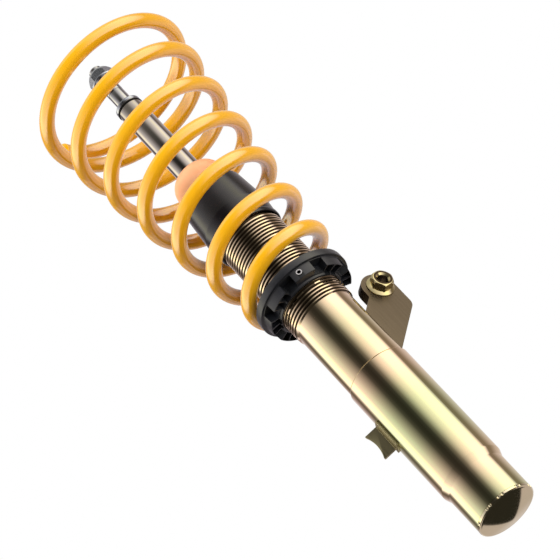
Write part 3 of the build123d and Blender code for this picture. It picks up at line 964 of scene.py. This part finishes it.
def bracket_matrix():
    """Places a flat outline on the bracket: x outwards, y up the strut, z out of its face."""
    angle = math.radians(BRACKET_AZIMUTH)
    normal = Vector((math.cos(angle), math.sin(angle), 0))
    outward = Vector((-normal.y, normal.x, 0))
    matrix = Matrix.Identity(4)
    matrix.col[0][:3] = outward
    matrix.col[1][:3] = (0, 0, 1)
    matrix.col[2][:3] = normal
    return matrix


def eye_arc(radius, start, end, steps):
    points = []
    for step in range(steps + 1):
        angle = math.radians(start + (end - start) * step / steps)
        points.append((EYE_OUT + radius * math.cos(angle), EYE_Z + radius * math.sin(angle), 0.0))
    return points


def make_bracket():
    place = bracket_matrix()
    back = BRACKET_FACE - BRACKET_RIM
    plate = [
        (EYE_OUT - EYE_R, INNER_CORNER_Z, 2.0),
        (BRACKET_ROOT, BRACKET_HEAD_Z, 0.0),
        (BRACKET_ROOT, BRACKET_FOOT_Z, 0.0),
        (EYE_OUT + EYE_R, OUTER_CORNER_Z, 9.0),
    ]
    plate += eye_arc(EYE_R, 0, 180, 20)
    sheet = prism(rounded(plate, 0.0, 6), BRACKET_FACE - BRACKET_THICK, BRACKET_FACE, place)
    rim = eye_arc(EYE_R, 0, 180, 24)
    rim_end = EYE_OUT - EYE_R
    rim += [(rim_end, INNER_CORNER_Z, 0.0), (rim_end + BRACKET_THICK, INNER_CORNER_Z, 0.0)]
    rim += eye_arc(EYE_R - BRACKET_THICK, 180, 0, 24)
    wall = prism([p[:2] for p in rim], back, BRACKET_FACE - 0.5, place)
    body = combine(sheet, [wall], "UNION")
    low, high = 150, 250      # past both ends of the plate
    tube = lathe([(0, low), (SLEEVE_R + 0.02, low), (SLEEVE_R + 0.02, high), (0, high)], FINE)
    hole = prism(circle(BRACKET_HOLE_R, (LINK_OUT, LINK_Z)), back - 5, BRACKET_FACE + 5, place)
    body = combine(body, [tube, hole], "DIFFERENCE")
    body = bevelled(body, 0.5)
    bracket = new_piece("link_bracket_plate", body, "bracket", "housing", "link_bracket", sharp=14)
    flat = place.inverted()

    # Painted shade: the faces of the rim's wall get the dark zinc.
    def rim_wall_shade(centre):
        here = flat @ centre
        return back < here.z < BRACKET_FACE - 1.0 and here.y > INNER_CORNER_Z - 2.4 and here.x < EYE_OUT

    repaint(bracket, "painted_shade_zinc", rim_wall_shade)


def make_link_nut():
    place = bracket_matrix()
    at_eye = place @ Matrix.Translation((LINK_OUT, LINK_Z, 0))

    def turned(outline):
        bm = lathe(rounded(outline, 0.0), SMALL)
        bmesh.ops.transform(bm, matrix=at_eye, verts=bm.verts)
        return bm

    face = BRACKET_FACE
    top = face + LINK_NUT_HEIGHT
    flange = turned([
        (0.0, face),
        (LINK_FLANGE_R, face, 0.3),
        (LINK_FLANGE_R, face + 0.9, 0.4),
        (8.6, face + 2.4, 0.6),
        (0.0, face + 2.4),
    ])
    corners = circle(LINK_NUT_FLATS / math.sqrt(3), segments=6, start=math.radians(LINK_NUT_TURN))
    hexagon = prism(corners, face + 1, top, at_eye)
    crown = turned([(0.0, face), (10.4, face), (10.4, top - 1.7), (7.9, top - 0.1, 0.3), (0.0, top)])
    ring = turned([(0.0, top - 1.2), (8.0, top - 1.2), (7.86, top - 0.2, 0.25), (7.4, top, 0.2), (0.0, top)])
    hexagon = combine(hexagon, [crown], "INTERSECT")
    body = combine(flange, [hexagon, ring], "UNION")
    hole = turned([
        (0.0, face - 2),
        (LINK_HOLE_R, face - 2),
        (LINK_HOLE_R, top - 1.3, 0.2),
        (5.9, top + 0.1),
        (5.9, top + 2),
        (0.0, top + 2),
    ])
    body = combine(body, [hole], "DIFFERENCE")
    nut = new_piece("link_nut_flanged", body, "nut_gold", "housing", "link_nut", sharp=30)
    back = at_eye.inverted()

    # Painted shade: the nut's bore and its top face get the dark zinc.
    def bore_and_top_shade(centre):
        here = back @ centre
        return math.hypot(here.x, here.y) < LINK_HOLE_R + 0.1 or here.z > top - 0.05

    repaint(nut, "painted_shade_zinc", bore_and_top_shade)


# ============================== locator tab ==============================


def make_tab():
    low, high = TAB_BASE + TAB_FOOT_DROP, TAB_TOP
    middle = (low + high) / 2
    half = (high - low) / 2
    radius = (half * half + TAB_HOLLOW * TAB_HOLLOW) / (2 * TAB_HOLLOW)
    centre = -TAB_REACH - (radius - TAB_HOLLOW)
    swing = math.asin(half / radius)
    outline = [(-HOUSING_R - 0.2, high, 0.0), (-HOUSING_R - 0.2, low, 0.0)]
    for step in range(15):
        angle = -swing + 2 * swing * step / 14
        corner = 0.7 if step in (0, 14) else 0.0
        outline.append((centre + radius * math.cos(angle), middle + radius * math.sin(angle), corner))
    upright = Matrix.Translation((0, TAB_FRONT + TAB_THICK, 0)) @ Matrix.Rotation(math.radians(90), 4, "X")
    plate = prism(rounded(outline, 0.0, 4), 0.0, TAB_THICK, upright)
    near, far = TAB_FOOT_START, TAB_FOOT_START + TAB_FOOT_SPAN
    foot = [polar(HOUSING_R + TAB_FOOT_THICK, near + TAB_FOOT_SPAN * step / 12) for step in range(13)]
    foot += [polar(HOUSING_R + 0.02, far - TAB_FOOT_SPAN * step / 12) for step in range(13)]
    foot = prism(foot, TAB_BASE, TAB_TOP - 0.4)
    body = combine(plate, [foot], "UNION")
    body = bevelled(body, 0.45)
    new_piece("locator_tab_plate", body, "tab", "housing", "locator_tab", sharp=14)


# ============================== studio ==============================

CAMERA_TARGET = (-5.82, -0.29, 274.42)
CAMERA_ELEVATION = -31.79
CAMERA_ROLL = -43.015
CAMERA_DISTANCE = 2123.1
CAMERA_SENSOR = 36.0
CAMERA_FOCAL = 2760.06 / 560 * CAMERA_SENSOR   # from pixels of the photo to millimetres


def make_camera():
    """Looks up at the strut from below its base, turned so the strut runs across the frame."""
    elevation = math.radians(CAMERA_ELEVATION)
    roll = math.radians(CAMERA_ROLL)
    back = Vector((0, -math.cos(elevation), math.sin(elevation)))
    right = Vector((1, 0, 0))
    up = back.cross(right)
    across = math.cos(roll) * right + math.sin(roll) * up
    upward = -math.sin(roll) * right + math.cos(roll) * up
    data = bpy.data.cameras.new("camera")
    data.sensor_width = CAMERA_SENSOR
    data.lens = CAMERA_FOCAL
    data.clip_start = 0.1
    data.clip_end = 50
    camera = bpy.data.objects.new("camera", data)
    bpy.context.scene.collection.objects.link(camera)
    matrix = Matrix((across, upward, back)).transposed().to_4x4()
    matrix.translation = (Vector(CAMERA_TARGET) + back * CAMERA_DISTANCE) * MM
    camera.matrix_world = matrix
    bpy.context.scene.camera = camera


# Light round the strut by compass direction, as a share of a full turn from -Y towards +X.
STUDIO_RING = (
    (0.000, (0.045, 0.044, 0.040)),
    (0.028, (0.180, 0.170, 0.155)),
    (0.055, (0.500, 0.480, 0.460)),
    (0.083, (0.880, 0.820, 0.780)),
    (0.115, (1.150, 1.080, 1.040)),
    (0.150, (1.550, 1.480, 1.350)),
    (0.195, (2.000, 1.880, 1.400)),
    (0.225, (1.700, 1.600, 1.400)),
    (0.250, (0.950, 0.880, 0.950)),
    (0.268, (0.230, 0.190, 0.160)),
    (0.300, (0.230, 0.190, 0.160)),
    (0.330, (0.360, 0.310, 0.300)),
    (0.370, (0.540, 0.480, 0.500)),
    (0.430, (0.680, 0.610, 0.600)),
    (0.500, (0.820, 0.780, 0.800)),
    (0.560, (0.640, 0.580, 0.620)),
    (0.600, (0.360, 0.300, 0.340)),
    (0.628, (0.220, 0.180, 0.180)),
    (0.644, (0.120, 0.100, 0.095)),
    (0.668, (0.250, 0.220, 0.190)),
    (0.690, (1.020, 1.000, 1.100)),
    (0.702, (1.900, 1.800, 1.400)),
    (0.735, (1.900, 1.800, 1.400)),
    (0.780, (1.000, 0.920, 0.940)),
    (0.807, (0.790, 0.790, 0.760)),
    (0.835, (0.580, 0.540, 0.540)),
    (0.862, (0.390, 0.360, 0.360)),
    (0.890, (0.220, 0.200, 0.200)),
    (0.917, (0.075, 0.068, 0.065)),
    (0.945, (0.035, 0.033, 0.030)),
    (0.972, (0.028, 0.026, 0.023)),
)
TOP_LIGHT = (0.55, 0.53, 0.48)
DARK_CARD = (0.024, 0.022, 0.017)
TAN_CARD = (0.56, 0.48, 0.48)
PALE_CARD = (0.80, 0.74, 0.86)
GAP_WIDENS = 0.36         # the dark gap behind the strut, in direction units
GAP_START = 0.099
# Where one card gives way to the next: lengths along a direction of length one.
FLOOR_EDGE = (-0.82, -0.60)
CEILING_EDGE = (0.60, 0.85)
FAR_WALL_EDGE = (0.60, 0.70)
FAR_WALL_TOP = (0.06, 0.12)
CARD_EDGE = (0.20, 0.36)
GAP_EDGE = (-0.002, 0.004)


def make_world():
    """The camera sees white; metal mirrors a ring of dark and pale cards in soft bands."""
    world = bpy.data.worlds.new("studio")
    bpy.context.scene.world = world
    world.use_nodes = True
    tree = world.node_tree
    tree.nodes.clear()
    nodes = Nodes(tree)
    place = nodes.add("ShaderNodeTexCoord")
    split = nodes.add("ShaderNodeSeparateXYZ")
    nodes.link(place.outputs["Generated"], split.inputs["Vector"])

    def math_node(operation, first, second=None, third=None):
        node = nodes.add("ShaderNodeMath", operation=operation)
        for socket, value in zip(node.inputs, (first, second, third)):
            if value is None:
                continue
            if isinstance(value, (int, float)):
                socket.default_value = value
            else:
                nodes.link(value, socket)
        return node.outputs["Value"]

    def backwards(value):
        return math_node("MULTIPLY", value, -1.0)

    angle = math_node("ARCTAN2", split.outputs["X"], backwards(split.outputs["Y"]))
    turn = math_node("FRACT", math_node("MULTIPLY", angle, 1 / (2 * math.pi)))
    ring = nodes.ramp(turn, list(STUDIO_RING) + [(1.0, STUDIO_RING[0][1])])

    def step(low, high, value):
        """Zero below low, one above high."""
        node = nodes.add("ShaderNodeMapRange", interpolation_type="SMOOTHSTEP")
        node.inputs["From Min"].default_value = low
        node.inputs["From Max"].default_value = high
        nodes.link(value, node.inputs["Value"])
        return node.outputs["Result"]

    def blend(factor, under, over):
        mix = nodes.add("ShaderNodeMix", data_type="RGBA")
        nodes.link(factor, mix.inputs["Factor"])
        for socket, shade in ((mix.inputs[6], under), (mix.inputs[7], over)):
            if isinstance(shade, tuple):
                socket.default_value = colour(shade)
            else:
                nodes.link(shade, socket)
        return mix.outputs[2]

    across, away, height = split.outputs["X"], split.outputs["Y"], split.outputs["Z"]
    below = blend(step(*FLOOR_EDGE, height), DARK_CARD, ring)
    walls = blend(step(*CEILING_EDGE, height), below, TOP_LIGHT)
    behind = math_node("MULTIPLY", step(*FAR_WALL_EDGE, away), step(*FAR_WALL_TOP, backwards(height)))
    spread = math_node("SQRT", math_node("MULTIPLY_ADD", across, across, 0.0001))
    reach = math_node("MULTIPLY_ADD", height, -GAP_WIDENS, -GAP_START)
    gap = step(*GAP_EDGE, math_node("SUBTRACT", reach, spread))
    cards = blend(step(*CARD_EDGE, backwards(height)), PALE_CARD, TAN_CARD)
    far_wall = blend(gap, cards, DARK_CARD)
    surroundings = blend(behind, walls, far_wall)

    background = nodes.add("ShaderNodeBackground")
    nodes.link(surroundings, background.inputs["Color"])
    white = nodes.add("ShaderNodeBackground")
    white.inputs["Color"].default_value = (1, 1, 1, 1)
    path = nodes.add("ShaderNodeLightPath")
    chooser = nodes.add("ShaderNodeMixShader")
    nodes.link(path.outputs["Is Camera Ray"], chooser.inputs["Fac"])
    nodes.link(background.outputs["Background"], chooser.inputs[1])
    nodes.link(white.outputs["Background"], chooser.inputs[2])
    output = nodes.add("ShaderNodeOutputWorld")
    nodes.link(chooser.outputs["Shader"], output.inputs["Surface"])


def area_light(name, location, size, power):
    """A soft light aimed at the middle of the strut."""
    data = bpy.data.lights.new(name, "AREA")
    data.shape = "RECTANGLE"
    data.size, data.size_y = size
    data.energy = power
    lamp = bpy.data.objects.new(name, data)
    bpy.context.scene.collection.objects.link(lamp)
    lamp.location = location
    aim = Vector((0, 0, 0.27)) - Vector(location)
    lamp.rotation_euler = aim.to_track_quat("-Z", "Y").to_euler()
    lamp.visible_glossy = False


def make_lights():
    area_light("key", (-1.4, -1.6, 1.3), (1.2, 1.2), 44)
    area_light("fill", (1.6, -1.6, -0.9), (1.4, 1.4), 34)


def make_floor():
    """A pale floor under the strut. Its underside lets everything through."""
    bm = bmesh.new()
    bmesh.ops.create_grid(bm, x_segments=1, y_segments=1, size=6)
    mesh = bpy.data.meshes.new("floor")
    bm.to_mesh(mesh)
    bm.free()
    floor = bpy.data.objects.new("floor", mesh)
    bpy.context.scene.collection.objects.link(floor)
    pale = bpy.data.materials.new("floor")
    pale.use_nodes = True
    nodes = Nodes(pale.node_tree)
    shader = pale.node_tree.nodes["Principled BSDF"]
    shader.inputs["Base Color"].default_value = (0.86, 0.86, 0.86, 1)
    shader.inputs["Roughness"].default_value = 0.9
    output = pale.node_tree.nodes["Material Output"]
    side = nodes.add("ShaderNodeNewGeometry")
    clear = nodes.add("ShaderNodeBsdfTransparent")
    chooser = nodes.add("ShaderNodeMixShader")
    nodes.link(side.outputs["Backfacing"], chooser.inputs["Fac"])
    nodes.link(shader.outputs["BSDF"], chooser.inputs[1])
    nodes.link(clear.outputs["BSDF"], chooser.inputs[2])
    nodes.link(chooser.outputs["Shader"], output.inputs["Surface"])
    floor.data.materials.append(pale)
    floor.visible_glossy = False
    floor.visible_diffuse = False
    floor.visible_shadow = False


# ============================== the scene ==============================

make_camera()
make_world()
make_lights()
make_floor()
make_materials()
finish_inner_nodes()
make_lower_housing()
make_bottom_cap()
make_threaded_sleeve()
make_rod()
make_o_ring()
make_washer()
make_top_nut()
make_bump_stop()
make_boot()
make_perch()
make_spring()
make_bracket()
make_link_nut()
make_tab()
bpy.context.scene.view_settings.view_transform = "Standard"
